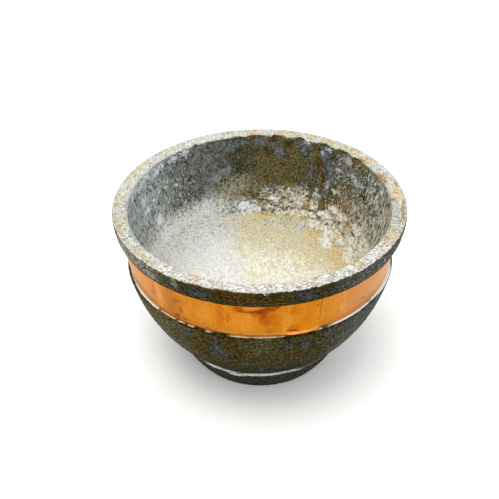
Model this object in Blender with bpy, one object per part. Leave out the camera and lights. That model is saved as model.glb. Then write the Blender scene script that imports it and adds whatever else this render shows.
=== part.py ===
# Turned soapstone bowl with a copper band let into a groove under its rim.
# The origin is at the centre of the foot's underside, +Z up, in metres.

from math import cos, pi, radians, sin, tan

import bmesh
import bpy
from mathutils import Matrix, Vector

MM = 0.001

# Overall size
BOWL_HEIGHT = 88.8 * MM
RIM_RADIUS = 70.0 * MM
FLOOR_THICKNESS = 11.3 * MM

# Rim: a flat lip on top, and a crowned side that leans in a little
LIP_WIDTH = 6.9 * MM
LIP_OUTER_ROUND = 0.9 * MM
LIP_INNER_ROUND = 2.0 * MM
RIM_SIDE_HEIGHT = 9.1 * MM
RIM_SIDE_TAPER = 1.4 * MM
RIM_SIDE_CROWN = 0.7 * MM
RIM_EDGE_ROUND = 0.5 * MM

# Copper band: a strip that lies in a tapered groove, a little below the stone on both sides
BAND_WIDTH = 21.4 * MM
BAND_TOP_RADIUS = 66.5 * MM
BAND_BOTTOM_RADIUS = 63.7 * MM
BAND_THICKNESS = 0.7 * MM
BAND_SEAM_ANGLE = radians(-66.2)
FITTING_GAP = 0.3 * MM

# Body under the band, from the ledge that carries the copper down to the neck
LEDGE_RADIUS = 65.6 * MM
LEDGE_ROUND = 0.7 * MM
NECK_RADIUS = 43.7 * MM
NECK_DEPTH = 72.5 * MM
BODY_TOP_SLOPE = radians(11.6)
BODY_TOP_PULL = 17.5 * MM
BODY_NECK_SLOPE = radians(44.6)
BODY_NECK_PULL = 15.5 * MM

# Foot: a groove at the neck, a small rounded shoulder, then a side that tapers in
NECK_GROOVE = 0.6 * MM
FOOT_SHOULDER_RADIUS = 44.1 * MM
FOOT_SHOULDER_ROUND = 0.9 * MM
FOOT_RADIUS = 35.8 * MM
FOOT_SIDE_CROWN = 0.7 * MM
FOOT_EDGE_ROUND = 0.8 * MM

# Hollow: steep below the lip, then one sweep to the floor
HOLLOW_TOP_SLOPE = radians(9.5)
HOLLOW_TOP_PULL = 49.5 * MM
HOLLOW_FLOOR_PULL = 41.0 * MM

# Finish of each piece: linear red, green and blue, then metallic and roughness
SOAPSTONE = ((0.062, 0.055, 0.032), 0.0, 0.5)
COPPER = ((0.72, 0.27, 0.06), 1.0, 0.35)

# Facets
TURNS = 72
CURVE_STEPS = 9
HOLLOW_STEPS = 13
ROUND_STEPS = 3
SIDE_STEPS = 4


def outline_point(radius, depth):
    """A point of the turned outline, with its depth measured down from the lip."""
    return Vector((radius, 0.0, BOWL_HEIGHT - depth))


def sweep(start, start_slope, start_pull, end, end_slope, end_pull, steps):
    """Smooth curve going down from start to end, with slopes measured from the vertical."""
    start_way = Vector((-sin(start_slope), 0.0, -cos(start_slope)))
    end_way = Vector((-sin(end_slope), 0.0, -cos(end_slope)))
    first = start + start_way * start_pull
    second = end - end_way * end_pull
    points = []
    for step in range(steps + 1):
        t = step / steps
        u = 1.0 - t
        points.append(start * u**3 + first * (3 * u * u * t) + second * (3 * u * t * t) + end * t**3)
    return points


def crowned(start, end, crown, steps):
    """Line from start to end that swells outwards by crown at its middle."""
    way = (end - start).normalized()
    outwards = Vector((-way.z, 0.0, way.x))
    if outwards.x < 0.0:
        outwards.negate()
    points = []
    for step in range(steps + 1):
        t = step / steps
        points.append(start.lerp(end, t) + outwards * (crown * 4.0 * t * (1.0 - t)))
    return points


def rounded(before, corner, after, radius, steps):
    """Arc of the given radius that takes the place of a corner between two straight runs."""
    way_in = (before - corner).normalized()
    way_out = (after - corner).normalized()
    half = way_in.angle(way_out) / 2.0
    reach = radius / tan(half)
    centre = corner + (way_in + way_out).normalized() * (radius / sin(half))
    first = corner + way_in * reach - centre
    last = corner + way_out * reach - centre
    swing = first.angle(last)
    points = []
    for step in range(steps + 1):
        t = step / steps
        a = sin((1.0 - t) * swing) / sin(swing)
        b = sin(t * swing) / sin(swing)
        points.append(centre + first * a + last * b)
    return points


def hollow_outline():
    """The inside, from the middle of its floor up to the lip."""
    lip_edge = outline_point(RIM_RADIUS - LIP_WIDTH, 0.0)
    floor_centre = outline_point(0.0, BOWL_HEIGHT - FLOOR_THICKNESS)
    wall = sweep(
        lip_edge, HOLLOW_TOP_SLOPE, HOLLOW_TOP_PULL,
        floor_centre, pi / 2.0, HOLLOW_FLOOR_PULL, HOLLOW_STEPS,
    )
    lip_round = rounded(wall[1], lip_edge, outline_point(RIM_RADIUS, 0.0), LIP_INNER_ROUND, ROUND_STEPS)
    return list(reversed(wall[1:])) + lip_round


def rim_outline():
    """The lip's outer corner, the crowned side and the edge over the band."""
    lip_corner = outline_point(RIM_RADIUS, 0.0)
    lower_corner = outline_point(RIM_RADIUS - RIM_SIDE_TAPER, RIM_SIDE_HEIGHT)
    side = crowned(lip_corner, lower_corner, RIM_SIDE_CROWN, SIDE_STEPS)
    lip_edge = outline_point(RIM_RADIUS - LIP_WIDTH, 0.0)
    groove_top = outline_point(BAND_TOP_RADIUS, RIM_SIDE_HEIGHT)
    upper = rounded(lip_edge, lip_corner, side[1], LIP_OUTER_ROUND, ROUND_STEPS)
    lower = rounded(side[-2], lower_corner, groove_top, RIM_EDGE_ROUND, ROUND_STEPS)
    return upper + side[1:-1] + lower


def groove_outline():
    """The groove's back wall, under the copper."""
    recess = BAND_THICKNESS + FITTING_GAP
    return [
        outline_point(BAND_TOP_RADIUS - recess, RIM_SIDE_HEIGHT),
        outline_point(BAND_BOTTOM_RADIUS - recess, RIM_SIDE_HEIGHT + BAND_WIDTH),
    ]


def body_outline():
    """The ledge's corner and the wall below it, down to the groove at the neck."""
    ledge_depth = RIM_SIDE_HEIGHT + BAND_WIDTH
    ledge_corner = outline_point(LEDGE_RADIUS, ledge_depth)
    neck = outline_point(NECK_RADIUS, NECK_DEPTH)
    wall = sweep(
        ledge_corner, BODY_TOP_SLOPE, BODY_TOP_PULL,
        neck, BODY_NECK_SLOPE, BODY_NECK_PULL, CURVE_STEPS,
    )
    ledge = rounded(
        outline_point(BAND_BOTTOM_RADIUS, ledge_depth), ledge_corner, wall[1],
        LEDGE_ROUND, ROUND_STEPS,
    )
    return ledge + wall[1:]


def foot_outline():
    """The groove at the neck, the shoulder, the foot's side and its underside."""
    groove_bottom = outline_point(NECK_RADIUS - NECK_GROOVE, NECK_DEPTH + NECK_GROOVE / 2.0)
    shoulder_corner = outline_point(FOOT_SHOULDER_RADIUS, NECK_DEPTH + NECK_GROOVE)
    foot_corner = outline_point(FOOT_RADIUS, BOWL_HEIGHT)
    side = crowned(shoulder_corner, foot_corner, FOOT_SIDE_CROWN, SIDE_STEPS)
    shoulder = rounded(groove_bottom, shoulder_corner, side[1], FOOT_SHOULDER_ROUND, ROUND_STEPS)
    underside = outline_point(0.0, BOWL_HEIGHT)
    edge = rounded(side[-2], foot_corner, underside, FOOT_EDGE_ROUND, ROUND_STEPS)
    return [groove_bottom] + shoulder + side[1:-1] + edge + [underside]


def add_object(name, bm, material):
    """Turn a finished bmesh into a smooth-shaded object."""
    bmesh.ops.recalc_face_normals(bm, faces=bm.faces)
    mesh = bpy.data.meshes.new(name)
    bm.to_mesh(mesh)
    bm.free()
    mesh.materials.append(material)
    mesh.shade_smooth()
    mesh.set_sharp_from_angle(angle=radians(35.0))
    piece = bpy.data.objects.new(name, mesh)
    bpy.context.scene.collection.objects.link(piece)
    return piece


def stone_bowl(material):
    """Rim, wall and foot in one turned piece, hollow inside."""
    outline = hollow_outline() + rim_outline() + groove_outline() + body_outline() + foot_outline()
    bm = bmesh.new()
    corners = [bm.verts.new(point) for point in outline]
    edges = [bm.edges.new(pair) for pair in zip(corners, corners[1:])]
    bmesh.ops.spin(
        bm, geom=corners + edges, cent=(0.0, 0.0, 0.0), axis=(0.0, 0.0, 1.0),
        angle=2.0 * pi, steps=TURNS, use_merge=False,
    )
    bmesh.ops.remove_doubles(bm, verts=bm.verts, dist=0.01 * MM)
    return add_object("stone_bowl", bm, material)


def copper_band(material):
    """One strip bent round the groove, its two ends meeting at a seam."""
    top = RIM_SIDE_HEIGHT + FITTING_GAP
    bottom = RIM_SIDE_HEIGHT + BAND_WIDTH - FITTING_GAP
    section = [
        outline_point(BAND_TOP_RADIUS, top),
        outline_point(BAND_BOTTOM_RADIUS, bottom),
        outline_point(BAND_BOTTOM_RADIUS - BAND_THICKNESS, bottom),
        outline_point(BAND_TOP_RADIUS - BAND_THICKNESS, top),
    ]
    seam_half = FITTING_GAP / BAND_TOP_RADIUS / 2.0
    bm = bmesh.new()
    end = bm.faces.new([bm.verts.new(point) for point in section])
    bmesh.ops.rotate(
        bm, verts=bm.verts, cent=(0.0, 0.0, 0.0),
        matrix=Matrix.Rotation(BAND_SEAM_ANGLE + seam_half, 3, "Z"),
    )
    bmesh.ops.spin(
        bm, geom=[end], cent=(0.0, 0.0, 0.0), axis=(0.0, 0.0, 1.0),
        angle=2.0 * (pi - seam_half), steps=TURNS, use_merge=False,
    )
    return add_object("copper_band", bm, material)


def principled(name, colour, metallic, roughness):
    """Principled material with one colour all over."""
    mat = bpy.data.materials.new(name)
    mat.use_nodes = True
    shader = mat.node_tree.nodes["Principled BSDF"]
    shader.inputs["Base Color"].default_value = (*colour, 1.0)
    shader.inputs["Metallic"].default_value = metallic
    shader.inputs["Roughness"].default_value = roughness
    return mat


def main():
    for old in list(bpy.data.objects):
        bpy.data.objects.remove(old, do_unlink=True)
    stone_bowl(principled("soapstone", *SOAPSTONE))
    copper_band(principled("copper", *COPPER))


main()
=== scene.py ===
from math import cos, pi, radians, sin, tan

import bpy
from mathutils import Matrix, Vector


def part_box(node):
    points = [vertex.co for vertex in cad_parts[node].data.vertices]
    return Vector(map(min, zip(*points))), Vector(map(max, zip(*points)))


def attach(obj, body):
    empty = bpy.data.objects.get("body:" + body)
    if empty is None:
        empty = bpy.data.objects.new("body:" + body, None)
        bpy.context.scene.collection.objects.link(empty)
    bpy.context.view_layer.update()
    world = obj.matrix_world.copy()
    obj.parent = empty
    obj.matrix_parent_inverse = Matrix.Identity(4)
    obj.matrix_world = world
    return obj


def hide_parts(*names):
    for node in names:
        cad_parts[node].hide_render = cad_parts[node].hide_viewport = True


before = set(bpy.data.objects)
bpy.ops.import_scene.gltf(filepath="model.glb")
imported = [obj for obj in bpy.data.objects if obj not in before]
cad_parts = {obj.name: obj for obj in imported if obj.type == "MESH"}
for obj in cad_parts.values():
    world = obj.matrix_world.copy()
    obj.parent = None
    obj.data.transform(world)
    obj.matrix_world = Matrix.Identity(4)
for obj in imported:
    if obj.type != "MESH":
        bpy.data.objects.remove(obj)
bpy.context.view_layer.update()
print("frame loaded")

mm = 0.001

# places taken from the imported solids
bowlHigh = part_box("stone_bowl")[1]
bandLow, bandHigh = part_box("copper_band")
bowlHeight = bowlHigh.z
rimSwell = 0.17 * mm                        # how far the rim's side stands out past its upper corner
rimRadius = bowlHigh.x - rimSwell
grooveGap = 0.3 * mm                        # left clear round the copper


def feed(tree, node, inputs):
    # links a node or a socket to the input of that name or number, and sets anything else
    for key, value in inputs.items():
        if isinstance(value, bpy.types.Node):
            value = value.outputs[0]
        if isinstance(value, bpy.types.NodeSocket):
            tree.links.new(value, node.inputs[key])
        else:
            node.inputs[key].default_value = value


def addNode(tree, kind, inputs=None, **settings):
    # one node with its settings, links and values
    node = tree.nodes.new(kind)
    for key, value in settings.items():
        setattr(node, key, value)
    feed(tree, node, inputs or {})
    return node


def addObject(name, data):
    added = bpy.data.objects.new(name, data)
    bpy.context.scene.collection.objects.link(added)
    return added


def newMaterial(name):
    material = bpy.data.materials.new(name)
    material.use_nodes = True
    return material, material.node_tree, material.node_tree.nodes["Principled BSDF"]


def hexColour(text):
    # sRGB hex to the linear colour that shaders take
    parts = [int(text[i:i + 2], 16) / 255.0 for i in (1, 3, 5)]
    linear = [p / 12.92 if p <= 0.04045 else ((p + 0.055) / 1.055) ** 2.4 for p in parts]
    return (*linear, 1.0)


# camera, floor and light

cameraView = {
    "distance": 420.0 * mm,                 # from the middle of the rim
    "elevation": 33.45,                     # degrees above the rim's plane
    "aim": Vector((-5.1, 0.0, 59.2)) * mm,  # where the view's centre crosses the middle of the bowl
    "roll": -0.93,
    "lens": 63.3,
    "nearest": 10.0 * mm,
}

studio = {
    "floorSize": 6.0,                       # metres, as the lamps' places and sizes are
    "floorColour": "#F6F6F4",
    "skyStrength": 1.05,
    "skyColour": "#FFFFFF",
    "aim": Vector((0.0, 0.0, 0.05)),        # where both lamps point
    "lights": {
        "topLight": {"place": Vector((-0.1, -0.1, 1.2)), "size": 0.9, "watts": 9.0},
        "frontLight": {"place": Vector((0.3, -1.1, 0.9)), "size": 0.8, "watts": 3.5},
    },
}


def pointed(place, target):
    # what puts a camera or lamp at a place and points it at the target
    turn = (target - place).to_track_quat("-Z", "Y").to_matrix().to_4x4()
    return Matrix.Translation(place) @ turn


def makeCamera():
    view = cameraView
    lift = radians(view["elevation"])
    rimMiddle = Vector((0.0, 0.0, bowlHeight))
    place = rimMiddle + Vector((0.0, -cos(lift), sin(lift))) * view["distance"]
    camera = addObject("camera", bpy.data.cameras.new("camera"))
    camera.data.lens = view["lens"]
    camera.data.clip_start = view["nearest"]
    camera.matrix_world = pointed(place, view["aim"]) @ Matrix.Rotation(radians(view["roll"]), 4, "Z")
    bpy.context.scene.camera = camera


def makeFloor():
    half = studio["floorSize"] / 2.0
    corners = [(-half, -half, 0.0), (half, -half, 0.0), (half, half, 0.0), (-half, half, 0.0)]
    mesh = bpy.data.meshes.new("floor")
    mesh.from_pydata(corners, [], [(0, 1, 2, 3)])
    floor = addObject("floor", mesh)
    # painted board: fully matt, so no mirror light at all
    paint, tree, shader = newMaterial("matt white paint")
    feed(tree, shader, {
        "Base Color": hexColour(studio["floorColour"]), "Roughness": 1.0, "Specular IOR Level": 0.0,
    })
    mesh.materials.append(paint)


def makeStudio():
    makeFloor()
    for name, light in studio["lights"].items():
        lamp = bpy.data.lights.new(name, "AREA")
        lamp.shape = "DISK"
        lamp.size = light["size"]
        lamp.energy = light["watts"]
        addObject(name, lamp).matrix_world = pointed(light["place"], studio["aim"])
    world = bpy.data.worlds.new("studio")
    world.use_nodes = True
    sky = world.node_tree.nodes["Background"]
    sky.inputs["Color"].default_value = hexColour(studio["skyColour"])
    sky.inputs["Strength"].default_value = studio["skyStrength"]
    bpy.context.scene.world = world
    bpy.context.scene.view_settings.view_transform = "Standard"


makeCamera()
makeStudio()
print("studio ready")

# the stone bowl: an outline by the same rule as the solid's, with closer rows, and how it is worn

bowlShape = {
    "floorThickness": 11.3 * mm,
    "lipWidth": 6.9 * mm,
    "lipOuterRound": 0.9 * mm,
    "lipInnerRound": 2.0 * mm,
    "rimSideHeight": 9.1 * mm,
    "rimSideTaper": 1.4 * mm,
    "rimSideCrown": 0.7 * mm,
    "rimEdgeRound": 0.5 * mm,
    "bandBottomRadius": 63.7 * mm,
    "bandThickness": 0.7 * mm,
    "ledgeRadius": 65.6 * mm,
    "ledgeRound": 0.7 * mm,
    "neckRadius": 43.7 * mm,
    "neckDepth": 72.5 * mm,
    "bodyTop": (11.6, 17.5 * mm),           # slope from the vertical in degrees, and pull
    "bodyNeck": (44.6, 15.5 * mm),
    "neckGroove": 0.6 * mm,
    "shoulderRadius": 44.1 * mm,
    "shoulderRound": 0.9 * mm,
    "footRadius": 35.8 * mm,
    "footSideCrown": 0.7 * mm,
    "footEdgeRound": 0.8 * mm,
    "hollowTop": (9.5, 49.5 * mm),
    "hollowFloor": (90.0, 41.0 * mm),
    "facets": 520,
    # rows in each run of the outline, close together where an edge shows
    "rows": {
        "hollow": 70, "lip": 9, "round": 6, "side": 12, "groove": 5, "ledge": 4, "body": 29, "foot": 11,
        "under": 5,
    },
    # slow waves left by hand finishing, and shallow pits
    "waveDepth": 0.10 * mm,
    "waveLength": 26.0 * mm,
    "pitDepth": 0.14 * mm,
    "pitSize": 3.0 * mm,
    "seed": 7.0,
    "noiseRange": (0.35, 0.72),             # the part of the noise that is stretched over the full depth
    "weld": 0.005 * mm,                     # closes the seam of the turn and both poles
}

lipWay = 4                                  # the row of the hollow that gives the wall's way at the lip
clear = 1.2                                 # rows nearer a corner than its radius times this make way for it
lipClear = 1.25                             # the same at the hollow's upper end


def at(radius, depth):
    # a point of the outline, its depth measured down from the lip
    return Vector((radius, 0.0, bowlHeight - depth))


def downwards(slope):
    # one metre down a wall that leans in by this many degrees
    return Vector((-sin(radians(slope)), 0.0, -cos(radians(slope))))


def sweep(start, startEnd, end, endEnd, count):
    # smooth curve down the wall; each end gives its slope from the vertical and its pull
    (startSlope, startPull), (endSlope, endPull) = startEnd, endEnd
    first = start + downwards(startSlope) * startPull
    second = end - downwards(endSlope) * endPull
    points = []
    for i in range(count + 1):
        t = i / count
        u = 1.0 - t
        points.append(start * u**3 + first * (3 * u * u * t) + second * (3 * u * t * t) + end * t**3)
    return points


def crowned(start, end, crown, count):
    # line that swells outwards by crown at its middle
    way = (end - start).normalized()
    outwards = Vector((-way.z, 0.0, way.x))
    if outwards.x < 0.0:
        outwards.negate()
    return [start.lerp(end, i / count) + outwards * (crown * 4.0 * (i / count) * (1.0 - i / count))
            for i in range(count + 1)]


def rounded(before, corner, after, radius):
    # arc in place of a corner
    wayIn = (before - corner).normalized()
    wayOut = (after - corner).normalized()
    half = wayIn.angle(wayOut) / 2.0
    centre = corner + (wayIn + wayOut).normalized() * (radius / sin(half))
    first = corner + wayIn * (radius / tan(half)) - centre
    last = corner + wayOut * (radius / tan(half)) - centre
    swing = first.angle(last)
    count = bowlShape["rows"]["round"]
    return [centre + (first * sin((1.0 - i / count) * swing) + last * sin(i / count * swing)) / sin(swing)
            for i in range(count + 1)]


def straight(start, end, count):
    return [start.lerp(end, i / count) for i in range(count + 1)]


def past(points, corner, reach):
    # the points that lie further than reach from a corner
    return [p for p in points if (p - corner).length > reach]


def bowlRuns():
    # the outline's runs in order, each with the share of surface relief that it takes
    shape, rows = bowlShape, bowlShape["rows"]
    recess = shape["bandThickness"] + grooveGap
    grooveTop = shape["rimSideHeight"]
    grooveBottom = bowlHeight - bandLow.z + grooveGap
    lipEdge = at(rimRadius - shape["lipWidth"], 0.0)
    lipCorner = at(rimRadius, 0.0)
    floorMiddle = at(0.0, bowlHeight - shape["floorThickness"])
    wall = sweep(lipEdge, shape["hollowTop"], floorMiddle, shape["hollowFloor"], rows["hollow"])
    innerRound = rounded(wall[lipWay], lipEdge, lipCorner, shape["lipInnerRound"])
    hollow = list(reversed(past(wall, lipEdge, shape["lipInnerRound"] * lipClear)))

    rimLower = at(rimRadius - shape["rimSideTaper"], grooveTop)
    side = crowned(lipCorner, rimLower, shape["rimSideCrown"], rows["side"])
    outerRound = rounded(lipEdge, lipCorner, side[1], shape["lipOuterRound"])
    lip = straight(innerRound[-1], outerRound[0], rows["lip"])[1:-1]
    rimEdge = rounded(side[-2], rimLower, at(bandHigh.x, grooveTop), shape["rimEdgeRound"])
    side = past(side, lipCorner, shape["lipOuterRound"] * clear)
    side = past(side, rimLower, shape["rimEdgeRound"] * clear)

    grooveWall = straight(at(bandHigh.x - recess, grooveTop),
                          at(shape["bandBottomRadius"] - recess, grooveBottom), rows["groove"])
    ledgeCorner = at(shape["ledgeRadius"], grooveBottom)
    neck = at(shape["neckRadius"], shape["neckDepth"])
    body = sweep(ledgeCorner, shape["bodyTop"], neck, shape["bodyNeck"], rows["body"])
    ledgeRound = rounded(grooveWall[-1], ledgeCorner, body[1], shape["ledgeRound"])
    ledge = straight(grooveWall[-1], ledgeRound[0], rows["ledge"])[1:-1]
    body = past(body, ledgeCorner, shape["ledgeRound"] * clear)

    neckBottom = at(shape["neckRadius"] - shape["neckGroove"], shape["neckDepth"] + shape["neckGroove"] / 2.0)
    shoulderCorner = at(shape["shoulderRadius"], shape["neckDepth"] + shape["neckGroove"])
    footCorner = at(shape["footRadius"], bowlHeight)
    underMiddle = at(0.0, bowlHeight)
    footSide = crowned(shoulderCorner, footCorner, shape["footSideCrown"], rows["foot"])
    shoulder = rounded(neckBottom, shoulderCorner, footSide[1], shape["shoulderRound"])
    footEdge = rounded(footSide[-2], footCorner, underMiddle, shape["footEdgeRound"])
    footSide = past(footSide, shoulderCorner, shape["shoulderRound"] * clear)
    footSide = past(footSide, footCorner, shape["footEdgeRound"] * clear)
    under = straight(footEdge[-1], underMiddle, rows["under"])[1:]
    return [
        ("hollow", hollow, 1.0), ("innerRound", innerRound, 0.7), ("lip", lip, 0.5),
        ("outerRound", outerRound, 0.6), ("side", side, 0.7), ("rimEdge", rimEdge, 0.5),
        ("grooveWall", grooveWall, 0.0), ("ledge", ledge, 0.2), ("ledgeRound", ledgeRound, 0.5),
        ("body", body, 1.0), ("neck", [neckBottom], 0.3), ("shoulder", shoulder, 0.6),
        ("footSide", footSide, 0.8), ("footEdge", footEdge, 0.4), ("under", under, 0.0),
    ]


def measureOutline():
    # along is the way down the outline in mm, 0 at the lip's outer corner and less inside it
    points, relief, along = [], [], [0.0]
    for name, run, share in bowlRuns():
        if name == "outerRound":
            corner = len(points)
        points += run
        relief += [share] * len(run)
    for a, b in zip(points, points[1:]):
        along.append(along[-1] + (b - a).length / mm)
    return {"points": points, "relief": relief, "along": [a - along[corner] for a in along]}


outline = measureOutline()


def laidOn(point, way, azimuth):
    # a place swung round the axis, and the turn that lays X round it and Y along the way
    swing = Matrix.Rotation(radians(azimuth), 3, "Z")
    across = swing @ Vector((0.0, 1.0, 0.0))
    down = swing @ way.normalized()
    turn = Matrix((across, down, across.cross(down))).transposed()
    return tuple(swing @ point), tuple(turn.to_euler())


def stonePlace(azimuth, along):
    # on the stone, by the mm along its outline, with Y down it
    points, alongs = outline["points"], outline["along"]
    i = next(k for k in range(1, len(alongs)) if alongs[k] >= along)
    share = (along - alongs[i - 1]) / (alongs[i] - alongs[i - 1])
    return laidOn(points[i - 1].lerp(points[i], share), points[i] - points[i - 1], azimuth)


def bandPlace(azimuth, height):
    # on the copper, by the height over its lower edge in mm, with Y up it
    low = Vector((bowlShape["bandBottomRadius"], 0.0, bandLow.z))
    high = Vector((bandHigh.x, 0.0, bandHigh.z))
    return laidOn(low.lerp(high, height * mm / (high.z - low.z)), high - low, azimuth)


print("outline ready")


def startTree(name, inputs):
    # a tree with its named inputs; also gives their identifiers, and the sockets that they feed
    tree = bpy.data.node_groups.new(name, "GeometryNodeTree")
    tree.is_modifier = True
    ids = {}
    for kind, names in inputs.items():
        for key in names:
            socket = tree.interface.new_socket(key, in_out="INPUT", socket_type="NodeSocket" + kind)
            ids[key] = socket.identifier
    tree.interface.new_socket("piece", in_out="OUTPUT", socket_type="NodeSocketGeometry")
    return tree, ids, addNode(tree, "NodeGroupInput").outputs


def endTree(tree, shape, material):
    real = addNode(tree, "GeometryNodeRealizeInstances", {"Geometry": shape})
    finished = addNode(tree, "GeometryNodeSetMaterial", {"Geometry": real, "Material": material})
    addNode(tree, "NodeGroupOutput", {"piece": finished})


def applyTree(piece, tree, ids, values):
    # set the inputs by identifier, then keep only the plain mesh
    modifier = piece.modifiers.new(tree.name, "NODES")
    modifier.node_group = tree
    for key, identifier in ids.items():
        if key in values:
            modifier[identifier] = values[key]
    ready = piece.evaluated_get(bpy.context.evaluated_depsgraph_get())
    mesh = bpy.data.meshes.new_from_object(ready)
    piece.modifiers.remove(modifier)
    piece.data = mesh
    mesh.name = piece.name


def bowlTree():
    # turns the outline round the axis and wears the surface back a little, never outwards
    tree, ids, given = startTree("turnedBowl", {
        "Geometry": ["outline"], "Int": ["facets"], "Material": ["stone"],
        "Float": ["waveDepth", "waveLength", "pitDepth", "pitSize", "seed"],
    })

    # a grid with one column for each facet and one row for each point of the outline
    size = addNode(tree, "GeometryNodeAttributeDomainSize", {"Geometry": given["outline"]}, component="MESH")
    count = size.outputs["Point Count"]
    across = addNode(tree, "ShaderNodeMath", {0: given["facets"], 1: 1.0}, operation="ADD")
    grid = addNode(tree, "GeometryNodeMeshGrid", {"Vertices X": across, "Vertices Y": count})
    index = addNode(tree, "GeometryNodeInputIndex")
    row = addNode(tree, "ShaderNodeMath", {0: index, 1: count}, operation="MODULO")
    share = addNode(tree, "ShaderNodeMath", {0: index, 1: count}, operation="DIVIDE")
    column = addNode(tree, "ShaderNodeMath", {0: share}, operation="FLOOR")
    turn = addNode(tree, "ShaderNodeMath", {0: column, 1: given["facets"]}, operation="DIVIDE")
    angle = addNode(tree, "ShaderNodeMath", {0: turn, 1: 2.0 * pi}, operation="MULTIPLY")

    place = addNode(tree, "GeometryNodeInputPosition")
    point = addNode(tree, "GeometryNodeSampleIndex", {
        "Geometry": given["outline"], "Value": place, "Index": row,
    }, data_type="FLOAT_VECTOR")
    turned = addNode(tree, "ShaderNodeVectorRotate", {
        "Vector": point, "Axis": (0.0, 0.0, 1.0), "Angle": angle,
    })
    held = addNode(tree, "GeometryNodeSetPosition", {"Geometry": grid, "Position": turned})
    for name in ("along", "relief"):
        wanted = addNode(tree, "GeometryNodeInputNamedAttribute", {"Name": name}, data_type="FLOAT")
        value = addNode(tree, "GeometryNodeSampleIndex", {
            "Geometry": given["outline"], "Value": wanted, "Index": row,
        }, data_type="FLOAT")
        held = addNode(tree, "GeometryNodeStoreNamedAttribute", {
            "Geometry": held, "Name": name, "Value": value,
        }, data_type="FLOAT", domain="POINT")
    closed = addNode(tree, "GeometryNodeMergeByDistance", {"Geometry": held, "Distance": bowlShape["weld"]})
    outwards = addNode(tree, "GeometryNodeFlipFaces", {"Mesh": closed})

    # long waves and shallow pits, each from 0 to its full depth
    depth = 0.0
    lowest, highest = bowlShape["noiseRange"]
    for length, full, detail in (("waveLength", "waveDepth", 1.0), ("pitSize", "pitDepth", 2.0)):
        scale = addNode(tree, "ShaderNodeMath", {0: 1.0, 1: given[length]}, operation="DIVIDE")
        noise = addNode(tree, "ShaderNodeTexNoise", {
            "Vector": place, "W": given["seed"], "Scale": scale, "Detail": detail,
        }, noise_dimensions="4D")
        curve = addNode(tree, "ShaderNodeMapRange", {
            "Value": noise, "From Min": lowest, "From Max": highest,
        }, interpolation_type="SMOOTHSTEP")
        depth = addNode(tree, "ShaderNodeMath", {
            0: curve, 1: given[full], 2: depth,
        }, operation="MULTIPLY_ADD")
    taken = addNode(tree, "GeometryNodeInputNamedAttribute", {"Name": "relief"}, data_type="FLOAT")
    depth = addNode(tree, "ShaderNodeMath", {0: depth, 1: taken}, operation="MULTIPLY")
    inwards = addNode(tree, "ShaderNodeMath", {0: depth, 1: -1.0}, operation="MULTIPLY")
    normal = addNode(tree, "GeometryNodeInputNormal")
    offset = addNode(tree, "ShaderNodeVectorMath", {0: normal, "Scale": inwards}, operation="SCALE")
    worn = addNode(tree, "GeometryNodeSetPosition", {"Geometry": outwards, "Offset": offset})
    smooth = addNode(tree, "GeometryNodeSetShadeSmooth", {"Geometry": worn, "Shade Smooth": True})
    endTree(tree, smooth, given["stone"])
    return tree, ids


def makeBowl(stone):
    # starts as a bare line of points that carries the outline's values
    points = outline["points"]
    mesh = bpy.data.meshes.new("stoneBowl")
    mesh.from_pydata(points, [(i, i + 1) for i in range(len(points) - 1)], [])
    for name in ("along", "relief"):
        mesh.attributes.new(name, "FLOAT", "POINT").data.foreach_set("value", outline[name])
    bowl = addObject("stoneBowl", mesh)
    applyTree(bowl, *bowlTree(), {**bowlShape, "stone": stone})
    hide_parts("stone_bowl")
    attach(bowl, "root")
    return bowl


# layers of colour, for both materials; the numbers of a layer are
# noise: size in mm, detail, and the weight with which it raises and lowers the layer's zones
# between: from and to in mm along, and softness; towards: azimuth, half width and softness in degrees
# patches: azimuth in degrees, mm along, then half width and half height in mm
# start and edge: the level at which the layer covers, and how softly; stretch: the noise's scale along Z

patchEnd = 1.6                              # a patch's field runs out at this many half widths
patchPeak = 1.333                           # brings that field to a half at the patch's border
noiseSwing = 0.25                           # how far noise strays from its middle to each side
seedStep = Vector((0.31, 0.17, 0.23))       # metres by which each seed moves the noise


def patchField(tree, place, patches, where):
    # over 1 in the middle of the ellipses, half at their border, 0 well outside
    field = None
    for azimuth, along, halfWidth, halfHeight in patches:
        spot, turn = where(azimuth, along)
        reach = patchEnd * mm
        laid = addNode(tree, "ShaderNodeMapping", {
            "Vector": place, "Location": spot, "Rotation": turn,
            "Scale": (halfWidth * reach, halfHeight * reach, max(halfWidth, halfHeight) * reach),
        }, vector_type="TEXTURE")
        ball = addNode(tree, "ShaderNodeTexGradient", {"Vector": laid}, gradient_type="SPHERICAL")
        near = ball.outputs["Fac"]
        if field is not None:
            near = addNode(tree, "ShaderNodeMath", {0: field, 1: near}, operation="MAXIMUM")
        field = near
    return addNode(tree, "ShaderNodeMath", {0: field, 1: patchPeak}, operation="MULTIPLY")


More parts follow.
